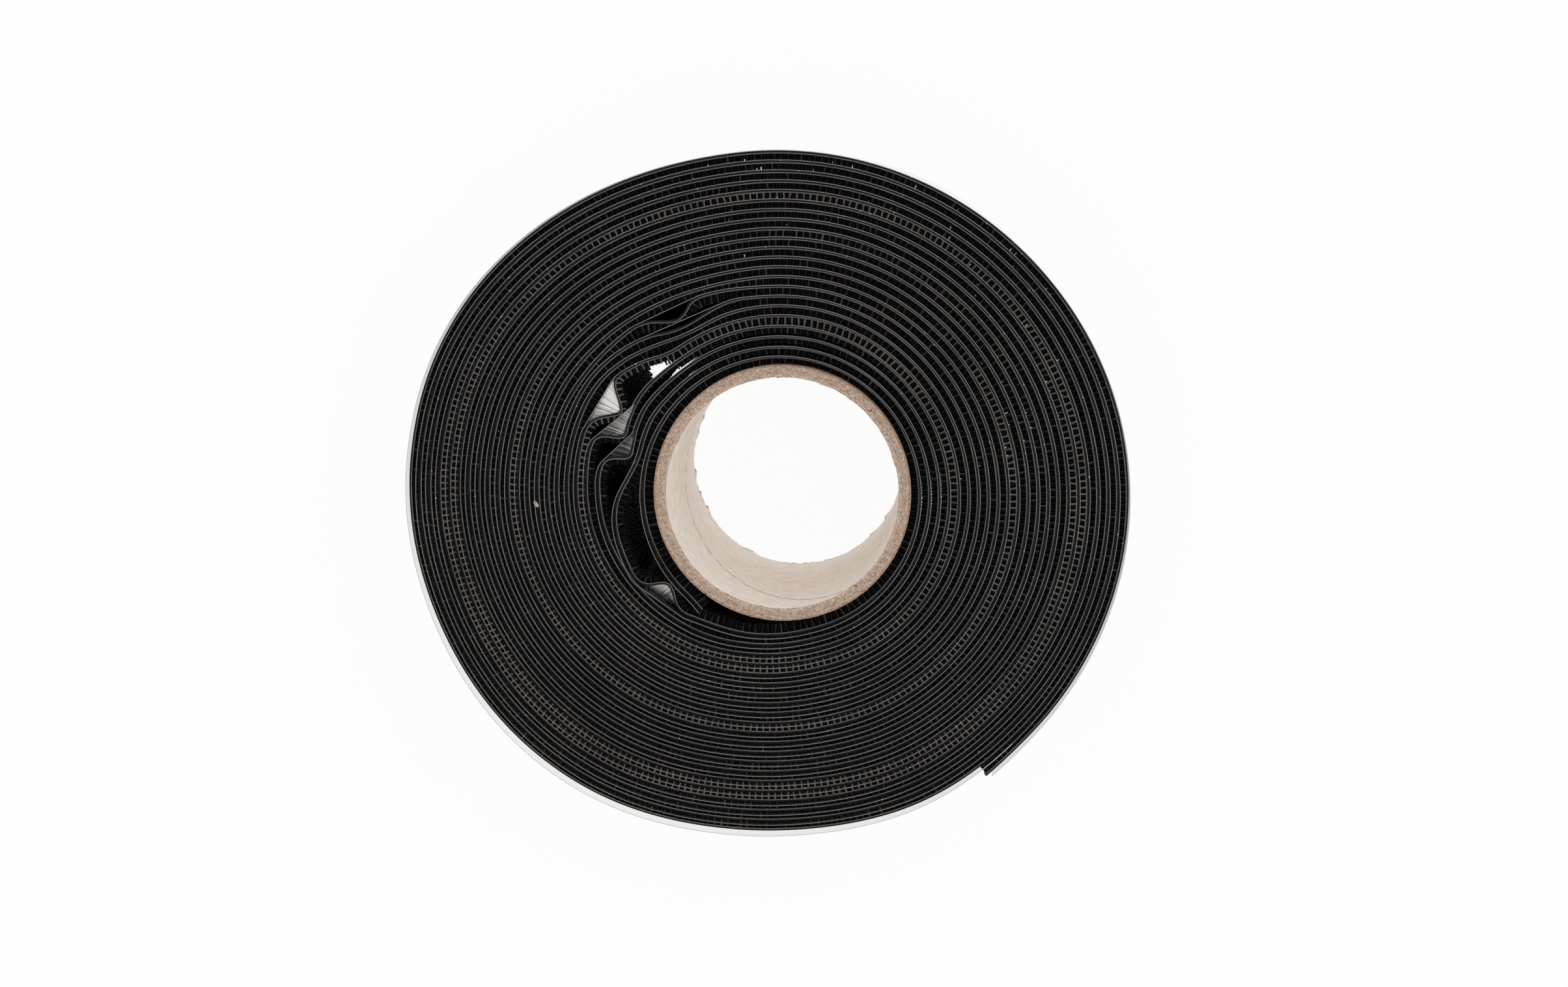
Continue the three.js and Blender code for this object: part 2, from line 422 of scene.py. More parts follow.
@dataclass(frozen=True)
class ClearFilm:
    """Clear release liner: a thin glossy film."""

    tint: Colour = (0.99, 0.972, 0.957, 1.0)
    index: float = 1.1
    grain_scale: float = 700.0
    haze_scale: float = 90.0
    haze: float = 0.04

    def build(self, effects: Effects) -> bpy.types.Material:
        """Builds the material from the shared effects."""
        surface = Surface.start("clear_film")
        surface.shader.inputs["Transmission Weight"].default_value = 1.0
        surface.shader.inputs["IOR"].default_value = self.index
        surface.shader.inputs["Base Color"].default_value = self.tint
        grain = surface.grain(effects, self.grain_scale, self.haze_scale)
        surface.feed(Roughness=map_range(surface.tree, grain["Broad"], to_high=self.haze))
        return surface.material


@dataclass(frozen=True)
class FilmEdge:
    """Slit edge of the liner: the clear film looks grey there, and round the outside it is painted paler,
    painted light on the outermost edge that stands open over the white table.
    """

    turns: float
    dark: Colour = (0.1, 0.094, 0.09, 1.0)
    pale: Colour = (0.22, 0.21, 0.202, 1.0)
    # outside: painted light, the paler tone of the outermost turn's edge
    outside: Colour = (0.52, 0.5, 0.485, 1.0)
    outermost_sweep: float = 1.02
    grain_scale: float = 1800.0
    patch_scale: float = 160.0

    def build(self, effects: Effects) -> bpy.types.Material:
        """Builds the material from the shared effects."""
        surface = Surface.start("film_edge")
        tree = surface.tree
        grain = surface.grain(effects, self.grain_scale, self.patch_scale)
        start = self.turns - self.outermost_sweep
        # Painted light: the outermost turn's edge takes the paler tone
        lit_outermost = math_node(tree, "GREATER_THAN", attribute(tree, "wound"), start)
        among_turns = mix_colour(tree, grain["Broad"], self.dark, self.pale)
        surface.feed(Base_Color=mix_colour(tree, lit_outermost, among_turns, self.outside))
        surface.shader.inputs["Roughness"].default_value = 0.35
        return surface.material


@dataclass(frozen=True)
class CorePaper:
    """Paper or board of the core: fibres round the tube, and a darker torn edge at each end."""

    name: str
    low: float
    high: float
    pale: Colour
    deep: Colour
    end_pale: Colour
    end_deep: Colour
    end_depth: float = 0.45 * MM
    wall_scale: float = 650.0
    wall_stretch: float = 4.0
    wall_cloud: float = 0.45
    torn_scale: float = 2500.0
    torn_stretch: float = 2.6
    torn_cloud: float = 0.3
    relief: float = 0.1 * MM

    def fibres(self, surface: Surface, effects: Effects, scale: float,
               stretch: float) -> bpy.types.NodeOutputs:
        """Places the shared fibres and gives their outputs."""
        return surface.effect(effects.fibre, {"Place": surface.place, "Scale": scale, "Stretch": stretch})

    def tone(self, tree: bpy.types.NodeTree, fibres: bpy.types.NodeOutputs, cloud: float, deep: Colour,
             pale: Colour) -> bpy.types.NodeSocket:
        """Colours the fibres.

        Args:
            tree: the material's node tree.
            fibres: outputs of the shared fibres.
            cloud: share of their Cloud, the rest being Streak.
            deep: the darkest colour.
            pale: the palest colour.

        Returns:
            The socket of the colour.
        """
        streak = math_node(tree, "MULTIPLY", fibres["Streak"], 1.0 - cloud)
        matted = math_node(tree, "MULTIPLY_ADD", fibres["Cloud"], cloud, streak)
        return mix_colour(tree, map_range(tree, matted, 0.36, 0.64), deep, pale)

    def build(self, effects: Effects) -> bpy.types.Material:
        """Builds the material from the shared effects."""
        surface = Surface.start(self.name)
        tree = surface.tree
        wall = self.fibres(surface, effects, self.wall_scale, self.wall_stretch)
        torn = self.fibres(surface, effects, self.torn_scale, self.torn_stretch)
        wall_tone = self.tone(tree, wall, self.wall_cloud, self.deep, self.pale)
        end_tone = self.tone(tree, torn, self.torn_cloud, self.end_deep, self.end_pale)
        ends = surface.at_cut_edges(effects, self.low, self.high, self.end_depth)
        at_end = clamped(tree, "MULTIPLY", ends, 3.0)
        surface.feed(Base_Color=mix_colour(tree, at_end, wall_tone, end_tone))
        surface.shader.inputs["Roughness"].default_value = 0.9
        relief = math_node(tree, "MULTIPLY_ADD", wall["Streak"], 0.4, torn["Streak"])
        surface.bump(relief, self.relief, 0.5)
        return surface.material


@dataclass(frozen=True)
class PaleFluff:
    """Loose fibres, dust and crumbs."""

    name: str
    dark: Colour
    pale: Colour
    grain_scale: float = 3000.0
    patch_scale: float = 700.0
    relief: float = 0.03 * MM

    def build(self, effects: Effects) -> bpy.types.Material:
        """Builds the material from the shared effects."""
        surface = Surface.start(self.name)
        grain = surface.grain(effects, self.grain_scale, self.patch_scale)
        surface.feed(Base_Color=mix_colour(surface.tree, grain["Broad"], self.dark, self.pale))
        surface.shader.inputs["Roughness"].default_value = 0.85
        surface.bump(grain["Fine"], self.relief, 0.5)
        return surface.material


def finish_mesh(name: str, shape: bmesh.types.BMesh, *materials: bpy.types.Material,
                crease: float = 40.0) -> bpy.types.Object:
    """Turns a finished shape into an object at the origin.

    Args:
        name: the piece's name.
        shape: its shape, which is freed.
        *materials: its materials, in the order of their face indices.
        crease: edges sharper than this stay sharp.

    Returns:
        The new object.
    """
    mesh = bpy.data.meshes.new(name)
    shape.to_mesh(mesh)
    shape.free()
    mesh.shade_smooth()
    mesh.set_sharp_from_angle(angle=math.radians(crease))
    for material in materials:
        mesh.materials.append(material)
    piece = bpy.data.objects.new(name, mesh)
    bpy.context.scene.collection.objects.link(piece)
    return piece


def attach(piece: bpy.types.Object, body: Body, slot: str, *stands_for: str) -> None:
    """Puts a piece on its body.

    Args:
        piece: the piece.
        body: the body it moves with.
        slot: its material slot; not used.
        *stands_for: the frame's nodes that it replaces.
    """
    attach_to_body(piece, body.value)
    if stands_for:
        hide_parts(*stands_for)
    log.info("%s: %d faces on %s", piece.name, len(piece.data.polygons), body.value)


def scatter(template: bmesh.types.BMesh, places: Iterable[Matrix]) -> bmesh.types.BMesh:
    """Copies a small shape to many places.

    Args:
        template: the shape, which is freed.
        places: where each copy goes.

    Returns:
        One shape that holds all the copies.
    """
    work = bpy.data.meshes.new("template")
    template.to_mesh(work)
    template.free()
    home = [number for vertex in work.vertices for number in vertex.co]
    copies = bmesh.new()
    for place in places:
        work.transform(place)
        copies.from_mesh(work)
        work.vertices.foreach_set("co", home)
    bpy.data.meshes.remove(work)
    return copies


def smoothstep(value: float, start: float, end: float) -> float:
    """Rises smoothly from 0 at start to 1 at end."""
    share = min(max((value - start) / (end - start), 0.0), 1.0)
    return share * share * (3.0 - 2.0 * share)


def hump(value: float, centre: float, half: float) -> float:
    """Smooth hump, 1 at its centre and 0 from one half width away."""
    return (1.0 + math.cos(math.pi * min(abs(value - centre) / half, 1.0))) / 2.0


@dataclass(frozen=True)
class DrawnFilm:
    """Adhesive strands across a pocket.

    They lie at a depth in millimetres at the web and at the liner. Their painted highlight changes from the
    first to the last painted light along the liner, and painted shade darkens them towards it.
    """

    at_web: float
    at_liner: float
    first_painted_light: float
    last_painted_light: float
    fade: float


@dataclass(frozen=True)
class Fold:
    """Buckle of one turn, a soft curve drawn near the corners of a line.

    Each corner is an angle, and how far the turn stands out there in millimetres. The liner runs straight
    between two angles, and may draw the adhesive with it. A shallow fold fades out below the upper edge, and
    one that stays does not fall with the swell.
    """

    corners: tuple[tuple[float, float], ...]
    liner_from: float = 0.0
    liner_to: float = 0.0
    shallow: bool = False
    stays: bool = False
    drawn: Optional[DrawnFilm] = None

    def lift(self, angle: float) -> float:
        """Gives how far the turn stands out at an angle, on a quadratic curve between the line's middles."""
        middles = [((a + c) / 2.0, (b + d) / 2.0) for (a, b), (c, d) in zip(self.corners, self.corners[1:])]
        angle = min(max(angle, middles[0][0]), middles[-1][0])
        index = next(i for i in range(1, len(middles)) if angle <= middles[i][0])
        (start, low), (corner, bend), (end, high) = middles[index - 1], self.corners[index], middles[index]
        ahead = angle - start
        lead = corner - start
        share = ahead / (lead + math.sqrt(max(lead * lead + (start - 2.0 * corner + end) * ahead, 0.0)))
        rest = 1.0 - share
        return (low * rest * rest + 2.0 * bend * share * rest + high * share * share) * MM


def inner_folds() -> dict[int, Fold]:
    """Gives the folds of the inner turns, by turn number."""
    return {
        2: Fold(((130.0, 0.0), (140.0, 0.0), (150.0, 0.25), (158.0, 0.0), (166.0, -0.3), (174.0, 0.45),
                 (184.0, 2.6), (193.0, 3.3), (204.0, 3.25), (213.7, 3.4), (217.6, -0.3), (222.2, -0.4),
                 (229.0, 1.45), (237.0, 0.4), (246.0, 0.0), (256.0, 0.0)), 212.5, 231.0, stays=True,
                drawn=DrawnFilm(0.45, 1.6, 1.35, 0.2, 1.4)),
        3: Fold(((122.0, 0.0), (131.0, 0.0), (139.0, 0.2), (148.0, 0.45), (157.0, 0.1), (163.0, -0.35),
                 (168.6, -0.5), (169.6, 3.1), (173.5, 3.85), (181.0, 3.75), (189.0, 3.75)), 158.0, 170.9,
                drawn=DrawnFilm(0.4, 2.0, 0.8, -0.2, 0.2)),
        4: Fold(((118.0, 0.0), (126.0, 0.0), (134.0, 0.15), (145.0, 0.65), (155.5, 0.15), (162.3, -0.45),
                 (163.4, 4.0), (168.5, 4.4), (176.0, 4.15), (184.0, 4.15)), 150.0, 164.8,
                drawn=DrawnFilm(0.2, 1.2, 1.15, 0.0, 0.3)),
        5: Fold(((112.0, 0.0), (121.0, 0.0), (129.5, 0.1), (137.0, 2.0), (145.3, 3.6), (147.5, 3.45),
                 (152.6, 0.35), (155.4, 0.35), (160.0, 4.3), (168.0, 4.25), (176.0, 4.1), (184.0, 4.1)),
                146.2, 162.2,
                drawn=DrawnFilm(0.1, 0.6, 1.6, 0.1, 0.3)),
        6: Fold(((90.0, 0.0), (107.0, 0.0), (117.0, -0.5), (124.0, -0.2), (132.0, 1.15), (142.0, 3.0),
                 (151.0, 4.0), (162.0, 4.1), (174.0, 4.0), (182.0, 4.0))),
        7: Fold(((88.0, 0.0), (97.0, 0.0), (105.0, 0.3), (114.0, -0.4), (120.0, -0.75), (126.0, -0.1),
                 (131.0, 1.3), (140.0, 2.75), (150.0, 3.85), (164.0, 4.05), (174.0, 4.0), (182.0, 4.0)),
                107.4, 133.1, shallow=True),
        8: Fold(((86.0, 0.0), (95.0, 0.0), (101.0, 0.2), (108.0, 0.6), (115.2, 1.0), (118.8, -0.55),
                 (123.0, -0.75), (129.6, 2.05), (137.0, 2.5), (147.0, 3.1), (158.0, 3.8), (168.0, 4.0),
                 (178.0, 4.0)), 113.4, 131.2, shallow=True),
    }


@dataclass(frozen=True)
class Winding:
    """Path of the tape: a spiral that hugs the core, slack on one side and folded in its inner turns.

    A place along it is the number of turns wound since the inner end.
    """

    core_radius: float
    stem_height: float = 0.75 * MM
    tape: float = 0.4 * MM
    bond: float = 0.05 * MM
    liner_film: float = 0.1 * MM
    stem_room: float = 0.885 * MM
    full_turns: int = 21
    inner_end: float = 236.0
    outer_end: float = 305.5
    counted_at: float = 280.0
    climb_start: float = 0.86
    slack_at_core: float = 1.07 * MM
    slack_at_rim: float = 3.1 * MM
    slack_angle: float = 240.0
    crown: float = 0.4 * MM
    crown_angle: float = 85.0
    crown_half: float = 60.0
    crown_rises: tuple[float, float] = (1.0, 5.0)
    crown_falls: tuple[float, float] = (9.0, 20.0)
    bulges: tuple[tuple[float, float, float], ...] = ((230.0, 38.0, 0.85 * MM), (293.0, 24.0, 0.45 * MM),
                                                      (5.0, 45.0, 0.28 * MM))
    full_from: float = 6.0
    inner_kick: float = 0.6 * MM
    outer_kick: float = 0.25 * MM
    kick_sweep: float = 10.0
    loose_height: float = 0.18 * MM
    loose_angle: float = 255.0
    loose_half: float = 90.0
    loose_fade: float = 0.2
    swell: float = 4.0 * MM
    swell_from: float = 98.0
    swell_to: float = 166.0
    fall_from: float = 175.0
    fall_to: float = 262.0
    fold_floor: float = 24.0 * MM
    fold_top: float = 36.0 * MM
    folds: dict[int, Fold] = field(default_factory=inner_folds)

    @property
    def turns(self) -> float:
        """Turns from the inner end to the outer end."""
        return self.full_turns + ((self.inner_end - self.outer_end) % 360.0) / 360.0

    @property
    def pitch(self) -> float:
        """Radial step from one turn to the next."""
        return self.tape + self.bond + self.liner_film + self.stem_room

    def place(self, wound: float) -> tuple[int, float]:
        """Gives the turn number and the angle at a place."""
        swept = wound * 360.0 + self.counted_at - self.inner_end
        return 1 + math.floor(swept / 360.0), self.counted_at - swept % 360.0

    def wound_at(self, turn: int, angle: float) -> float:
        """Gives the place at an angle of one turn."""
        return turn - 1 + (self.inner_end - angle) / 360.0

    def lift(self, wound: float, height: float) -> float:
        """How far the swell and the folds hold a turn away from the plain spiral."""
        turn, angle = self.place(wound)
        if turn < 2:
            return 0.0
        fall = 1.0 - smoothstep(angle, self.fall_from, self.fall_to)
        swell = self.swell * smoothstep(angle, self.swell_from, self.swell_to) * fall
        fold = self.folds.get(turn)
        if fold is None:
            return swell
        folded = fold.lift(angle) * (1.0 if fold.stays else fall)
        share = smoothstep(height, self.fold_floor, self.fold_top) if fold.shallow else 1.0
        return swell + (folded - swell) * share

    def kick(self, wound: float) -> float:
        """How far the cut ends spring away from what they lie on."""
        inner = max(0.0, 1.0 - wound * 360.0 / self.kick_sweep)
        outer = max(0.0, 1.0 - (self.turns - wound) * 360.0 / self.kick_sweep)
        return self.inner_kick * inner ** 2 + self.outer_kick * outer ** 2

    def radius(self, wound: float, height: float) -> float:
        """Radius of the web's inner face."""
        start = math.floor(wound)
        angle = self.place(wound)[1]
        wraps = start + smoothstep(wound - start, self.climb_start, 1.0)
        slack = self.slack_at_core + (self.slack_at_rim - self.slack_at_core) * wound / self.turns
        slack *= (1.0 + math.cos(math.radians(angle - self.slack_angle))) / 2.0
        crown = self.crown * hump(angle, self.crown_angle, self.crown_half)
        crown *= smoothstep(wound, *self.crown_rises) * (1.0 - smoothstep(wound, *self.crown_falls))
        plain = self.core_radius + self.stem_height + wraps * self.pitch
        return plain + slack + crown + self.fullness(wound) + self.lift(wound, height) + self.kick(wound)

    def fullness(self, wound: float) -> float:
        """How far the outer turns stand out at the sides where they are wound less tightly."""
        angle = self.place(wound)[1]
        bulges = (out * hump((angle - at + 180.0) % 360.0, 180.0, half) for at, half, out in self.bulges)
        return sum(bulges) * smoothstep(wound, self.full_from, self.turns)

    def inside(self, wound: float, height: float) -> Vector:
        """Gives the point on the web's inner face."""
        angle = math.radians(self.place(wound)[1])
        radius = self.radius(wound, height)
        return Vector((radius * math.cos(angle), radius * math.sin(angle), height))

    def along(self, wound: float, height: float) -> Vector:
        """Gives the way the tape runs, as a change for each turn wound."""
        step = 2e-5
        return (self.inside(wound + step, height) - self.inside(wound - step, height)) / (2.0 * step)

    def outside(self, wound: float, height: float, distance: float) -> Vector:
        """Gives the point at a distance out from the web's inner face."""
        way = self.along(wound, height).normalized()
        return self.inside(wound, height) + Vector((-way.y, way.x, 0.0)) * distance

    def liner(self, wound: float, height: float) -> Vector:
        """Gives the point on the liner's inner face, on the adhesive or straight across a fold."""
        turn, angle = self.place(wound)
        bonded = self.tape + self.bond
        fold = self.folds.get(turn)
        if fold and fold.liner_from < angle < fold.liner_to:
            ends = [self.wound_at(turn, end) for end in (fold.liner_from, fold.liner_to)]
            first, last = (self.outside(end, height, bonded) for end in ends)
            return first.lerp(last, (wound - ends[0]) / (ends[1] - ends[0]))
        under_tail = max(0.0, self.turns - 1.0 - wound)
        if under_tail > self.loose_fade:
            return self.outside(wound, height, bonded)
        loose = self.loose_height * hump(angle % 360.0, self.loose_angle, self.loose_half)
        share = 1.0 - smoothstep(under_tail, 0.0, self.loose_fade)
        return self.outside(wound, height, bonded + loose * share)

    def room(self, wound: float, height: float) -> float:
        """Gives the room that stems have, down to the liner of the turn below or to the core."""
        if wound < 1.0:
            return self.radius(wound, height) - self.core_radius
        return self.radius(wound, height) - self.liner(wound - 1.0, height).xy.length - self.liner_film

    def is_shallow(self, wound: float) -> bool:
        """Whether a place lies in a fold that fades out with depth."""
        turn, angle = self.place(wound)
        fold = self.folds.get(turn)
        return bool(fold and fold.shallow and fold.corners[0][0] < angle < self.fall_from)

    def stations(self, first: float, last: float, step: float, height: float) -> list[float]:
        """Walks along the web in equal steps.

        Args:
            first: place to start at.
            last: place to end at.
            step: length of each step.
            height: height to walk at.

        Returns:
            The places, ends included.
        """
        places = [first]
        while True:
            ahead = places[-1] + step / self.along(places[-1], height).length
            if ahead >= last:
                return places + [last]
            places.append(ahead)

    def turned_to_web(self, wound: float, height: float) -> Matrix:
        """Frame on the web's inner face: X along the tape, Y up, and Z inwards, away from the web."""
        way = self.along(wound, height).normalized()
        up = Vector((0.0, 0.0, 1.0))
        axes = Matrix((way, up, way.cross(up))).transposed().to_4x4()
        return Matrix.Translation(self.inside(wound, height)) @ axes


def wound_sheet(winding: Winding, places: list[float], face: Callable[[float, float], Vector], low: float,
                high: float, thickness: float, levels: int = 8) -> bmesh.types.BMesh:
    """Winds a strip of even thickness.

    Args:
        winding: the path.
        places: where the strip has a section.
        face: point of the strip's inner face at a place and a height.
        low: height of the lower edge.
        high: height of the upper edge.
        thickness: the strip's thickness.
        levels: levels across the strip where a fold fades out with depth.

    Returns:
        The closed strip, whose vertices hold their place in a layer.
    """
    shape = bmesh.new()
    layer = shape.verts.layers.float.new("wound")
    line = [shape.verts.new(face(wound, low)) for wound in places]
    for vertex, wound in zip(line, places):
        vertex[layer] = wound
    edges = [shape.edges.new(pair) for pair in zip(line, line[1:])]
    raised = bmesh.ops.extrude_edge_only(shape, edges=edges)["geom"]
    bmesh.ops.translate(shape, verts=[item for item in raised if isinstance(item, bmesh.types.BMVert)],
                        vec=(0.0, 0.0, high - low))
    upright = [edge for edge in shape.edges if winding.is_shallow(edge.verts[0][layer])
               and abs(edge.verts[0].co.z - edge.verts[1].co.z) > thickness]
    bmesh.ops.subdivide_edges(shape, edges=upright, cuts=levels - 1, use_grid_fill=True)
    for vertex in shape.verts:
        vertex.co = face(vertex[layer], vertex.co.z)
    shape.normal_update()
    shape.faces.ensure_lookup_table()
    first = shape.faces[0]
    outwards = first.normal.dot(first.calc_center_median() * Vector((1.0, 1.0, 0.0)))
    bmesh.ops.solidify(shape, geom=shape.faces[:], thickness=thickness if outwards < 0.0 else -thickness)
    bmesh.ops.recalc_face_normals(shape, faces=shape.faces[:])
    return shape


@dataclass
class HookTape:
    """Black hook tape: a moulded web, the stems on its inner face and the adhesive on its outer face."""

    winding: Winding
    low: float
    high: float
    web: float = 0.15 * MM
    adhesive: float = 0.29 * MM
    coat_inset: float = 0.25 * MM
    step: float = 0.8 * MM
    fold_step: float = 0.25 * MM
    stem_pitch: float = 1.0 * MM
    row_step: float = 0.6 * MM
    stem_base: float = 0.31 * MM
    stem_neck: float = 0.25 * MM
    stem_tip: float = 0.28 * MM
    stem_drift: float = 0.05 * MM
    stem_root: float = 0.03 * MM
    stem_plain: float = 0.86 * MM
    stem_pulled: float = 1.35 * MM
    stem_pressed: float = 0.42 * MM
    apart: tuple[tuple[int, float, float], ...] = ((5, 112.0, 240.0), (9, 92.0, 160.0))
    open_first_turn: float = 1.2
    pressed: tuple[int, float, float] = (4, 130.0, 152.0)
    clings_to: tuple[int, float] = (5, 131.5)
    core_gap: float = 0.02 * MM
    tip_press: float = 0.03 * MM
    drifts_per_turn: float = 1.3
    near_depth: float = 0.13 * MM
    far_depth: float = 0.62 * MM
    first_turn: float = 1.3
    first_turn_depth: float = 0.45 * MM
    flush_runs: tuple[tuple[float, float], ...] = ((17.4, 0.75), (4.45, 0.5), (10.9, 0.3))
    flush_fade: float = 0.12
    upper_rows: int = 8
    lower_rows: int = 3
    row_order: tuple[int, ...] = (0, 2, 1, 3)
    bare_ends: tuple[float, float] = (0.002, 0.001)
    lean_along: float = 0.09
    lean_across: float = 0.04
    drawn_margin: float = 0.6
    drawn_sections: int = 60
    drawn_cuts: int = 7
    drawn_film: float = 0.04 * MM
    painted_shade_rim: float = 0.14
    ripples_per_turn: float = 500.0
    stems_per_piece: int = 9000
    seed: int = 7

    def places(self) -> list[float]:
        """Places of the strips' sections, closer together in the folded turns."""
        folds_end = float(max(self.winding.folds))
        inner = self.winding.stations(0.0, folds_end, self.fold_step, self.high)
        return inner + self.winding.stations(folds_end, self.winding.turns, self.step, self.high)[1:]

    def build_web(self, black: bpy.types.Material) -> None:
        """Winds the web."""
        shape = wound_sheet(self.winding, self.places(), self.winding.inside, self.low, self.high, self.web)
        attach(finish_mesh("hook_web", shape, black), Body.WINDING, "hook_tape", "hook_tape")

    def build_adhesive(self, gloss: bpy.types.Material) -> None:
        """Winds the adhesive coat onto the web's outer face."""
        shape = wound_sheet(self.winding, self.places(), self.coat_face, self.low + self.coat_inset,
                            self.high - self.coat_inset, self.adhesive)
        attach(finish_mesh("adhesive_coat", shape, gloss), Body.WINDING, "hook_tape")

    def coat_face(self, wound: float, height: float) -> Vector:
        """Gives the point on the adhesive's inner face."""
        return self.winding.outside(wound, height, self.web)

    def first_row_depth(self, wound: float) -> float:
        """Depth of the first row of stems below the slit edge, which drifts along the tape."""
        drift = 0.5 + 0.5 * noise.noise(Vector((wound * self.drifts_per_turn, 4.0, 0.0)))
        depth = self.near_depth + (0.35 + 0.65 * drift) * (self.far_depth - self.near_depth)
        if wound < self.first_turn:
            depth = max(depth, self.first_turn_depth)
        for centre, half in self.flush_runs:
            depth -= (depth - self.near_depth) * smoothstep(half - abs(wound - centre), -self.flush_fade, 0.0)
        return depth

    def stem_shape(self) -> bmesh.types.BMesh:
        """Shapes one stem, which stands on the web and flares at its tip.

        Returns:
            The stem, along +Z.
        """
        shape = bmesh.new()
        height = self.winding.stem_height + self.stem_root
        neck_height = 0.8 * height
        square = math.sqrt(0.5)
        bmesh.ops.create_cone(shape, cap_ends=False, segments=4, radius1=self.stem_base * square,
                              radius2=self.stem_neck * square, depth=neck_height)
        bmesh.ops.rotate(shape, verts=shape.verts[:], matrix=Matrix.Rotation(math.radians(45.0), 3, "Z"))
        bmesh.ops.translate(shape, verts=shape.verts[:], vec=(0.0, 0.0, neck_height / 2.0 - self.stem_root))
        middle = 0.5 * neck_height
        rim = [edge for edge in shape.edges if all(vertex.co.z > middle for vertex in edge.verts)]
        grown = bmesh.ops.extrude_edge_only(shape, edges=rim)["geom"]
        tip = [item for item in grown if isinstance(item, bmesh.types.BMVert)]
        flare = self.stem_tip / self.stem_neck
        bmesh.ops.scale(shape, verts=tip, vec=(flare, flare, 1.0))
        bmesh.ops.translate(shape, verts=tip, vec=(0.0, 0.0, height - neck_height))
        bmesh.ops.contextual_create(shape, geom=tip)
        bmesh.ops.recalc_face_normals(shape, faces=shape.faces[:])
        return shape

    def in_folds(self, wound: float) -> bool:
        """Whether a place lies where the turns stand apart, so that stems show deep inside."""
        turn, angle = self.winding.place(wound)
        apart = any(turn <= last and start < angle < end for last, start, end in self.apart)
        return wound < self.open_first_turn or apart

    def tallest_stem(self, wound: float) -> float:
        """Most that a stem stands off the web: long where turns cling, pressed short beside one fold."""
        turn, angle = self.winding.place(wound)
        pressed_turn, start, end = self.pressed
        if turn == pressed_turn and start < angle < end:
            return self.stem_pressed
        cling_turn, cling_end = self.clings_to
        clings = wound < 1.0 or turn > cling_turn or (turn == cling_turn and angle < cling_end)
        return self.stem_pulled if clings else self.stem_plain

    def stem_places(self) -> list[Matrix]:
        """Works out where the stems stand.

        Returns:
            A frame on the web for each stem, from the inner end outwards.
        """
        dice = random.Random(self.seed)
        places = []
        rows_across = int((self.high - self.low - 2.0 * self.far_depth) / self.row_step)
        stagger = len(self.row_order)
        first, last = self.bare_ends[0], self.winding.turns - self.bare_ends[1]
        stations = self.winding.stations(first, last, self.stem_pitch / stagger, self.high)
        for number, wound in enumerate(stations):
            depth = self.first_row_depth(wound)
            deep = self.in_folds(wound)
            heights = []
            for row in range(self.row_order[number % stagger], rows_across, stagger):
                if deep or row < self.upper_rows:
                    heights.append(self.high - depth - row * self.row_step)
                elif row >= rows_across - self.lower_rows:
                    heights.append(self.low + depth + (rows_across - 1 - row) * self.row_step)
            for row_height in heights:
                height = row_height + dice.gauss(0.0, self.stem_drift)
                spare = self.tip_press if wound >= 1.0 else -self.core_gap
                room = self.winding.room(wound, height) + spare
                reach = max(min(self.tallest_stem(wound), room) / self.winding.stem_height, 0.1)
                along = Matrix.Rotation(dice.gauss(0.0, self.lean_along), 4, "Y")
                across = Matrix.Rotation(dice.gauss(0.0, self.lean_across), 4, "X")
                tall = Matrix.Diagonal((1.0, 1.0, reach * dice.uniform(0.97, 1.0), 1.0))
                places.append(self.winding.turned_to_web(wound, height) @ (along @ across) @ tall)
        return places

    def drawn_point(self, wound: float, across: float, film: DrawnFilm) -> Vector:
        """Gives the point of a drawn film at a place, part of the way across from the web to the liner."""
        at_web = self.winding.outside(wound, self.high, self.winding.tape)
        point = at_web.lerp(self.winding.liner(wound, self.high), across)
        ripple = noise.noise(Vector((wound * self.ripples_per_turn, across, 0.0)))
        sag = 4.0 * across * (1.0 - across) * (0.25 + 0.2 * ripple)
        point.z = self.high - (film.at_web + (film.at_liner - film.at_web) * across + sag) * MM
        return point

    def build_drawn(self, strands: bpy.types.Material) -> None:
        """Stretches a film of drawn adhesive across each pocket between the web and its liner, painted pale
        as a highlight and darker towards the liner and at its rim as painted shade.
        """
        shape = bmesh.new()
        layers = shape.verts.layers.float
        names = ("wound", "across", "painted_light")
        for name in names:
            layers.new(name)
        wound_at, across, painted_light = (layers[name] for name in names)
        drawn = {turn: fold for turn, fold in self.winding.folds.items() if fold.drawn}
        for turn, fold in drawn.items():
            start, end = fold.liner_from + self.drawn_margin, fold.liner_to - self.drawn_margin
            line = [shape.verts.new() for _ in range(self.drawn_sections + 1)]
            for section, vertex in enumerate(line):
                share = section / self.drawn_sections
                film = fold.drawn
                vertex[wound_at] = self.winding.wound_at(turn, start + (end - start) * share)
                # Painted highlight, changing from the first to the last painted light along the pocket
                vertex[painted_light] = film.first_painted_light * (1.0 - share) + film.last_painted_light * share
            for pair in zip(line, line[1:]):
                shape.edges.new(pair)
        grown = bmesh.ops.extrude_edge_only(shape, edges=shape.edges[:])["geom"]
        for item in grown:
            if isinstance(item, bmesh.types.BMVert):
                item[across] = 1.0
        rungs = [edge for edge in shape.edges if edge.verts[0][across] != edge.verts[1][across]]
        bmesh.ops.subdivide_edges(shape, edges=rungs, cuts=self.drawn_cuts, use_grid_fill=True)
        for vertex in shape.verts:
            film = drawn[self.winding.place(vertex[wound_at])[0]].drawn
            vertex.co = self.drawn_point(vertex[wound_at], vertex[across], film)
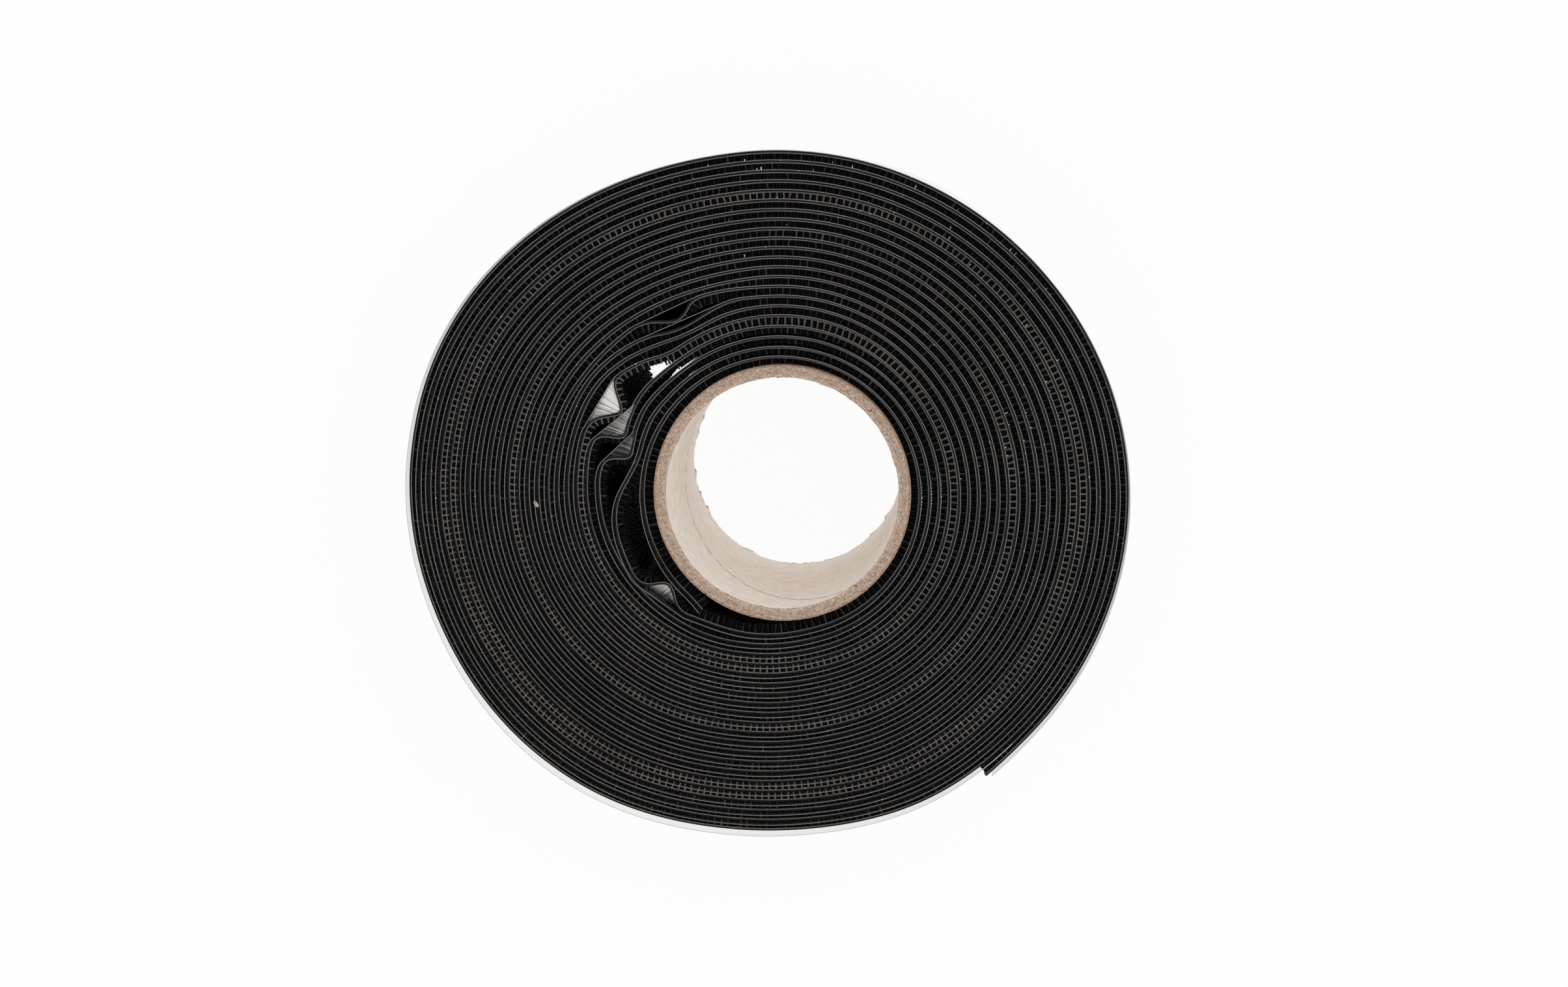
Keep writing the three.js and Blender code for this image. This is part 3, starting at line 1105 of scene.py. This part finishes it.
            # Painted shade: darker towards the liner and in a thin rim beside the web
            rim = 1.0 - smoothstep(vertex[across], 0.0, self.painted_shade_rim)
            vertex[painted_light] -= film.fade * vertex[across] ** 2 + rim
        bmesh.ops.recalc_face_normals(shape, faces=shape.faces[:])
        bmesh.ops.solidify(shape, geom=shape.faces[:], thickness=self.drawn_film)
        bmesh.ops.recalc_face_normals(shape, faces=shape.faces[:])
        attach(finish_mesh("drawn_adhesive_highlight", shape, strands), Body.WINDING, "hook_tape")

    def build_stems(self, black: bpy.types.Material) -> None:
        """Sets the stems on the web, in pieces of a manageable size."""
        places = self.stem_places()
        for number, start in enumerate(range(0, len(places), self.stems_per_piece), 1):
            shape = scatter(self.stem_shape(), places[start:start + self.stems_per_piece])
            attach(finish_mesh(f"hook_stems_{number}", shape, black), Body.WINDING, "hook_tape")


@dataclass
class ReleaseLiner:
    """Clear liner over the adhesive, wider than the tape."""

    winding: Winding
    tape: HookTape
    low: float
    high: float
    short_of_end: float = 1.0 * MM

    def build(self, film: bpy.types.Material, edge: bpy.types.Material) -> None:
        """Winds the liner, with its slit edges in a finish of their own.

        Args:
            film: finish of its faces.
            edge: finish of its slit edges.
        """
        winding = self.winding
        end = winding.turns - self.short_of_end / winding.along(winding.turns, self.high).length
        places = [place for place in self.tape.places() if place < end] + [end]
        shape = wound_sheet(winding, places, winding.liner, self.low, self.high, winding.liner_film)
        for face in shape.faces:
            face.material_index = int(abs(face.normal.z) > 0.7)
        attach(finish_mesh("liner_film", shape, film, edge), Body.WINDING, "liner", "release_liner")


@dataclass
class Ply:
    """One spiral ply of the core."""

    name: str
    node: str
    slot: str
    inner: float
    outer: float
    seam_angle: float


@dataclass
class CardCore:
    """Card core: four plies, each butted along a helical seam, with torn fibres at its cut ends."""

    low: float
    high: float
    outside: float
    thicknesses: tuple[float, ...] = (0.4 * MM, 0.5 * MM, 0.5 * MM, 0.25 * MM)
    glue_line: float = 0.05 * MM
    seam_gap: float = 0.42 * MM
    seam_lead: float = 81.0 * MM
    seam_top_angle: float = 310.0
    seam_step: float = 95.0
    sides: int = 360
    levels: int = 22
    ragged: float = 0.24 * MM
    torn: float = 0.75 * MM
    frayed: float = 0.3 * MM
    fibres: int = 900
    seed: int = 11

    def plies(self) -> list[Ply]:
        """Gives the plies from the bore outwards."""
        names = ("core_inner_ply", "core_board_ply_1", "core_board_ply_2", "core_outer_ply")
        slots = ("bore_paper", "core_board", "core_board", "outer_paper")
        inner = self.outside - sum(self.thicknesses) - self.glue_line * (len(self.thicknesses) - 1)
        plies = []
        for number, thickness in enumerate(self.thicknesses):
            seam = self.seam_top_angle + number * self.seam_step
            fill = self.glue_line if number + 1 < len(self.thicknesses) else 0.0
            plies.append(Ply(names[number].replace("core", "card"), names[number], slots[number], inner,
                             inner + thickness + fill, seam))
            inner += thickness + self.glue_line
        return plies

    def twist(self, height: float, top_angle: float) -> float:
        """Angle of a seam at a height, in radians."""
        return math.radians(top_angle) + 2.0 * math.pi * (height - self.high) / self.seam_lead

    def ply_shape(self, ply: Ply) -> bmesh.types.BMesh:
        """Shapes a ply as a tube, open along its seam.

        Args:
            ply: the ply.

        Returns:
            The closed shape.
        """
        shape = bmesh.new()
        inner, outer = ply.inner, ply.outer
        corners = ((inner, self.low), (outer, self.low), (outer, self.high), (inner, self.high))
        section = [shape.verts.new((radius, 0.0, height)) for radius, height in corners]
        edges = [shape.edges.new((section[i - 1], section[i])) for i in range(4)]
        walls = [edges[0], edges[2]]
        bmesh.ops.subdivide_edges(shape, edges=walls, cuts=self.levels - 1)
        gap = self.seam_gap / ply.inner
        bmesh.ops.spin(shape, geom=shape.verts[:] + shape.edges[:], cent=(0.0, 0.0, 0.0),
                       axis=(0.0, 0.0, 1.0), angle=2.0 * math.pi - gap, steps=self.sides, use_merge=False)
        open_edges = [edge for edge in shape.edges if edge.is_boundary]
        for face in bmesh.ops.holes_fill(shape, edges=open_edges, sides=0)["faces"]:
            face.material_index = 1
        bmesh.ops.recalc_face_normals(shape, faces=shape.faces[:])
        self.tear_ends(shape)
        for vertex in shape.verts:
            turn = Matrix.Rotation(self.twist(vertex.co.z, ply.seam_angle), 3, "Z")
            vertex.co = turn @ vertex.co
        return shape

    def tear_ends(self, shape: bmesh.types.BMesh) -> None:
        """Makes a ply's cut ends uneven, with torn paper standing a little into the bore."""
        bore = self.plies()[0].inner
        for vertex in shape.verts:
            end = min(vertex.co.z - self.low, self.high - vertex.co.z)
            if end < 1e-6:
                rough = noise.noise(vertex.co * 900.0) + 0.6 * noise.noise(vertex.co * 2500.0)
                inwards = 1.0 if vertex.co.z < 0.5 * (self.low + self.high) else -1.0
                radius = vertex.co.xy.length
                if radius < bore + 1e-6:
                    tear = 0.4 * max(noise.noise(vertex.co * 420.0), 0.0)
                    tear += 0.25 * abs(noise.noise(vertex.co * 1900.0))
                    tear += 1.5 * max(noise.noise(vertex.co * 800.0) - 0.32, 0.0)
                    depth = self.torn if inwards > 0.0 else self.frayed
                    vertex.co.xy *= 1.0 - depth * tear / radius
                vertex.co.z += inwards * self.ragged * min(max(0.5 + 0.5 * rough, 0.0), 1.0)

    def build_plies(self, effects: Effects) -> None:
        """Builds and dresses each ply."""
        tones = {
            "bore_paper": ((0.96, 0.9, 0.845, 1.0), (0.77, 0.685, 0.61, 1.0),
                           (0.69, 0.53, 0.42, 1.0), (0.23, 0.157, 0.115, 1.0)),
            "core_board": ((0.36, 0.265, 0.205, 1.0), (0.22, 0.16, 0.12, 1.0),
                           (0.64, 0.47, 0.36, 1.0), (0.195, 0.131, 0.096, 1.0)),
            "outer_paper": ((0.3, 0.2, 0.14, 1.0), (0.2, 0.13, 0.09, 1.0),
                            (0.48, 0.33, 0.25, 1.0), (0.145, 0.092, 0.065, 1.0)),
        }
        papers = {}
        for slot, colours in tones.items():
            papers[slot] = CorePaper(slot, self.low, self.high, *colours).build(effects)
        for ply in self.plies():
            piece = finish_mesh(ply.name, self.ply_shape(ply), papers[ply.slot], papers["core_board"])
            attach(piece, Body.CORE, ply.slot, ply.node)

    def fibre_shape(self) -> bmesh.types.BMesh:
        """Shapes one loose fibre, one unit long, bent and tapered.

        Returns:
            The fibre, along +X from the origin.
        """
        shape = bmesh.new()
        bmesh.ops.create_cone(shape, cap_ends=False, segments=3, radius1=0.024, radius2=0.01, depth=1.0)
        bmesh.ops.rotate(shape, verts=shape.verts[:], matrix=Matrix.Rotation(math.radians(90.0), 3, "Y"))
        long_edges = [edge for edge in shape.edges if edge.calc_length() > 0.5]
        bmesh.ops.subdivide_edges(shape, edges=long_edges, cuts=3)
        for vertex in shape.verts:
            vertex.co.x += 0.5
            vertex.co.z += 0.35 * vertex.co.x * (1.0 - vertex.co.x)
        return shape

    def fibre_places(self, end: End) -> list[Matrix]:
        """Works out where loose fibres lie at one cut end.

        Args:
            end: the end.

        Returns:
            A frame for each fibre.
        """
        dice = random.Random(self.seed + end.value)
        inner = self.plies()[0].inner
        height = self.high if end is End.UPPER else self.low
        places = []
        for _ in range(self.fibres):
            angle = dice.uniform(0.0, 2.0 * math.pi)
            radius = dice.uniform(inner, self.outside)
            length = dice.uniform(0.15, 0.5) * MM if dice.random() < 0.985 else dice.uniform(0.5, 1.0) * MM
            along = angle + math.pi / 2.0 + dice.gauss(0.0, 0.7)
            sunk = height - end.value * 0.12 * MM
            spot = Vector((radius * math.cos(angle), radius * math.sin(angle), sunk))
            flip = Matrix.Diagonal((1.0, 1.0, float(end.value), 1.0))
            tilt = Matrix.Rotation(dice.gauss(0.0, 0.12), 4, "Y")
            turn = Matrix.Rotation(along, 4, "Z")
            places.append(Matrix.Translation(spot) @ turn @ tilt @ flip @ Matrix.Scale(length, 4))
        return places

    def build_fibres(self, fluff: bpy.types.Material) -> None:
        """Lays loose fibres on both cut ends."""
        for end in End:
            shape = scatter(self.fibre_shape(), self.fibre_places(end))
            bmesh.ops.recalc_face_normals(shape, faces=shape.faces[:])
            attach(finish_mesh(f"core_fibres_{end.name.lower()}", shape, fluff), Body.CORE, "core_board")


@dataclass
class Dust:
    """Specks on the slit edges, and one crumb between two turns."""

    winding: Winding
    tape_high: float
    liner_high: float
    specks: int = 260
    crumb_at: tuple[float, float] = (-37.4 * MM, -2.15 * MM)
    crumb_size: tuple[float, float, float] = (0.28 * MM, 0.5 * MM, 0.25 * MM)
    seed: int = 23

    def speck_places(self) -> list[Matrix]:
        """Works out where specks lie on the web's and the liner's edges.

        Returns:
            A frame for each speck.
        """
        dice = random.Random(self.seed)
        places = []
        for _ in range(self.specks):
            wound = self.winding.turns * math.sqrt(dice.random())
            on_liner = dice.random() < 0.6
            edge = self.winding.liner if on_liner else self.winding.inside
            spot = edge(wound, self.liner_high if on_liner else self.tape_high)
            size = dice.uniform(0.03, 0.085) * MM
            shape = Matrix.Diagonal((size, size * dice.uniform(0.6, 1.8), size * 0.6, 1.0))
            turn = Matrix.Rotation(dice.uniform(0.0, math.tau), 4, "Z")
            places.append(Matrix.Translation(spot) @ turn @ shape)
        return places

    def build_specks(self, fluff: bpy.types.Material) -> None:
        """Scatters the specks."""
        speck = bmesh.new()
        bmesh.ops.create_icosphere(speck, subdivisions=1, radius=1.0)
        shape = scatter(speck, self.speck_places())
        attach(finish_mesh("dust_specks", shape, fluff), Body.WINDING, "liner")

    def build_crumb(self, fluff: bpy.types.Material) -> None:
        """Sets the crumb on the tape's edge."""
        shape = bmesh.new()
        bmesh.ops.create_icosphere(shape, subdivisions=3, radius=1.0)
        for vertex in shape.verts:
            vertex.co *= 1.0 + 0.35 * noise.noise(vertex.co * 1.7) + 0.12 * noise.noise(vertex.co * 5.0)
        bmesh.ops.scale(shape, verts=shape.verts[:], vec=self.crumb_size)
        bmesh.ops.rotate(shape, verts=shape.verts[:], matrix=Matrix.Rotation(math.radians(35.0), 3, "Z"))
        height = self.tape_high + self.crumb_size[2] / 2.0
        bmesh.ops.translate(shape, verts=shape.verts[:], vec=(*self.crumb_at, height))
        attach(finish_mesh("crumb", shape, fluff), Body.WINDING, "liner")


@dataclass
class Studio:
    """White table, soft white light and the camera almost straight above."""

    eye: Vector = field(default_factory=lambda: Vector((23.9, 49.3, 404.1)) * MM)
    gaze: Vector = field(default_factory=lambda: Vector((-0.0644, -0.1345, -0.9888)))
    focal_pixels: float = 3761.0
    sensor: float = 36.0
    table_size: float = 4.0
    glow: float = 0.93
    # Painted light: the table's glow to every ray but the camera's, which lights the roll and its bore from
    # below
    glow_onto_roll: float = 0.8
    daylight: float = 0.85
    lamp_power: float = 2.2
    lamp_size: float = 0.9
    lamp_at: Vector = field(default_factory=lambda: Vector((0.5, 0.4, 0.85)))

    def build_camera(self) -> None:
        """Aims the camera along the photograph's line of sight."""
        data = bpy.data.cameras.new("camera")
        data.sensor_width = self.sensor
        data.lens = self.focal_pixels / PHOTO_WIDTH * self.sensor
        data.clip_start = 0.01
        right = self.gaze.cross(Vector((0.0, 1.0, 0.0))).normalized()
        up = right.cross(self.gaze).normalized()
        axes = Matrix((right, up, -self.gaze.normalized())).transposed().to_4x4()
        camera = bpy.data.objects.new("camera", data)
        camera.matrix_world = Matrix.Translation(self.eye) @ axes
        bpy.context.scene.collection.objects.link(camera)
        bpy.context.scene.camera = camera

    def seen_directly(self, tree: bpy.types.NodeTree) -> bpy.types.NodeSocket:
        """Gives 1 for rays from the camera, straight, mirrored or through film, and 0 for light."""
        path = add_node(tree, "ShaderNodeLightPath").outputs
        seen = math_node(tree, "MAXIMUM", path["Is Camera Ray"], path["Is Glossy Ray"])
        return math_node(tree, "MAXIMUM", seen, path["Is Transmission Ray"])

    def build_light(self) -> None:
        """Lights the scene from a white sky and one large soft lamp."""
        world = bpy.data.worlds.new("white_sky")
        world.use_nodes = True
        tree = world.node_tree
        sky = tree.nodes["Background"]
        sky.inputs["Color"].default_value = (1.0, 1.0, 1.0, 1.0)
        strength = map_range(tree, self.seen_directly(tree), to_low=self.daylight)
        tree.links.new(strength, sky.inputs["Strength"])
        bpy.context.scene.world = world
        data = bpy.data.lights.new("soft_lamp", "AREA")
        data.energy = self.lamp_power
        data.size = self.lamp_size
        lamp = bpy.data.objects.new("soft_lamp", data)
        aimed = self.lamp_at.to_track_quat("Z", "Y").to_matrix().to_4x4()
        lamp.matrix_world = Matrix.Translation(self.lamp_at) @ aimed
        bpy.context.scene.collection.objects.link(lamp)

    def build_table(self) -> None:
        """Lays the white table under the roll; it glows to the camera and keeps a soft shadow, and also glows
        onto the roll as painted light from below, though it is no lamp.
        """
        surface = Surface.start("white_table")
        tree = surface.tree
        surface.shader.inputs["Base Color"].default_value = (0.93, 0.93, 0.93, 1.0)
        surface.shader.inputs["Roughness"].default_value = 0.8
        glow = add_node(tree, "ShaderNodeEmission")
        # Every ray but the camera's sees the table glow, painted light that lights the roll from below
        share = map_range(tree, self.seen_directly(tree), to_low=self.glow_onto_roll, to_high=self.glow)
        mixed = add_node(tree, "ShaderNodeMixShader",
                         {0: share, 1: surface.shader.outputs[0], 2: glow.outputs[0]})
        tree.links.new(mixed.outputs[0], tree.nodes["Material Output"].inputs["Surface"])
        shape = bmesh.new()
        bmesh.ops.create_grid(shape, x_segments=1, y_segments=1, size=self.table_size / 2.0)
        finish_mesh("table", shape, surface.material)


def main() -> None:
    """Builds the roll and its studio, in order."""
    logging.basicConfig(level=logging.INFO, format="%(name)s: %(message)s")
    bpy.context.scene.view_settings.view_transform = "Standard"
    studio = Studio()
    studio.build_camera()
    studio.build_light()
    studio.build_table()
    effects = Effects.build()
    tape_low, tape_high = (corner.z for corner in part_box("hook_tape"))
    liner_low, liner_high = (corner.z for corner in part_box("release_liner"))
    core_low, core_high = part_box("core_outer_ply")
    core_radius = (core_high.x - core_low.x) / 2.0
    winding = Winding(core_radius)
    tape = HookTape(winding, tape_low, tape_high)
    # The web's pale edge tone over 0.08 mm is partly its cut edge and partly a painted highlight on the lit
    # top edge
    web = MouldedBlack("moulded_web", tape_low, tape_high, (0.15, 0.139, 0.131, 1.0), 0.08 * MM, 0.2)
    tape.build_web(web.build(effects))
    tape.build_adhesive(AdhesiveGloss().build(effects))
    tape.build_drawn(DrawnStrandsHighlight().build(effects))
    # Stems fade from the pale tone over 0.32 mm below the edge: the cut tops of flush stems, and painted
    # shade that darkens the lower rows
    stem = MouldedBlack("moulded_stem", tape_low, tape_high, (0.108, 0.1, 0.094, 1.0), 0.32 * MM, 0.07)
    tape.build_stems(stem.build(effects))
    liner = ReleaseLiner(winding, tape, liner_low, liner_high)
    liner.build(ClearFilm().build(effects), FilmEdge(winding.turns).build(effects))
    core = CardCore(core_low.z, core_high.z, core_radius)
    core.build_plies(effects)
    fibre = PaleFluff("loose_fibre", (0.2, 0.15, 0.11, 1.0), (0.5, 0.4, 0.31, 1.0))
    core.build_fibres(fibre.build(effects))
    dust = Dust(winding, tape_high, liner_high)
    pale = PaleFluff("pale_dust", (0.4, 0.38, 0.36, 1.0), (0.75, 0.71, 0.66, 1.0)).build(effects)
    dust.build_specks(pale)
    dust.build_crumb(pale)


if __name__ == "__main__":
    main()
